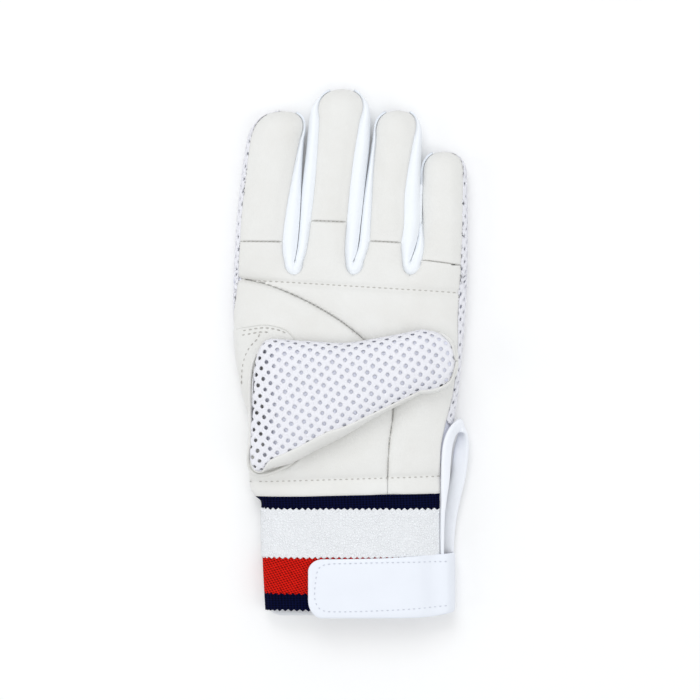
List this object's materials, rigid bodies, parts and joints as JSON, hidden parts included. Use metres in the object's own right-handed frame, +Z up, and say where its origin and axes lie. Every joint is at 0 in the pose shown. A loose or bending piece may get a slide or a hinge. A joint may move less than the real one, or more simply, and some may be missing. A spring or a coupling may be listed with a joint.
{
  "type": "wicketkeeping inner glove",
  "caption": "Padded leather wicketkeeping inner glove with an open-mesh back, a folded thumb, an elastic wrist and a wrap-over strap, lying palm up.",
  "frame": {"origin": "on the surface that the glove lies on, under the middle of its box", "axes": "+Z up out of the palm, +Y from the wrist to the fingertips, -X the thumb side"},
  "size_m": [0.1087, 0.2403, 0.0311],
  "materials": {
    "leather": "soft matt cream leather",
    "side_fabric": "smooth white cloth",
    "open_mesh": "white open-mesh knit",
    "elastic": "towelling band between ribbed knit stripes",
    "wrist_fabric": "plain white cloth",
    "tape": "smooth white binding tape",
    "strap": "satin white coated strap"
  },
  "bodies": {
    "root": {"palm_panel": "leather", "thenar_panel": "leather", "thumb_patch": "leather", "index_front": "leather", "middle_front": "leather", "ring_front": "leather", "little_front": "leather", "side_strip_index_middle": "side_fabric", "side_strip_middle_ring": "side_fabric", "side_strip_ring_little": "side_fabric", "mesh_back": "open_mesh", "thumb_mesh": "open_mesh", "thumb_leather": "leather", "thumb_welt": "leather", "wrist_elastic": "elastic", "wrist_panel": "wrist_fabric", "slit_tape": "tape", "wrist_strap": "strap"}
  },
  "joints": []
}
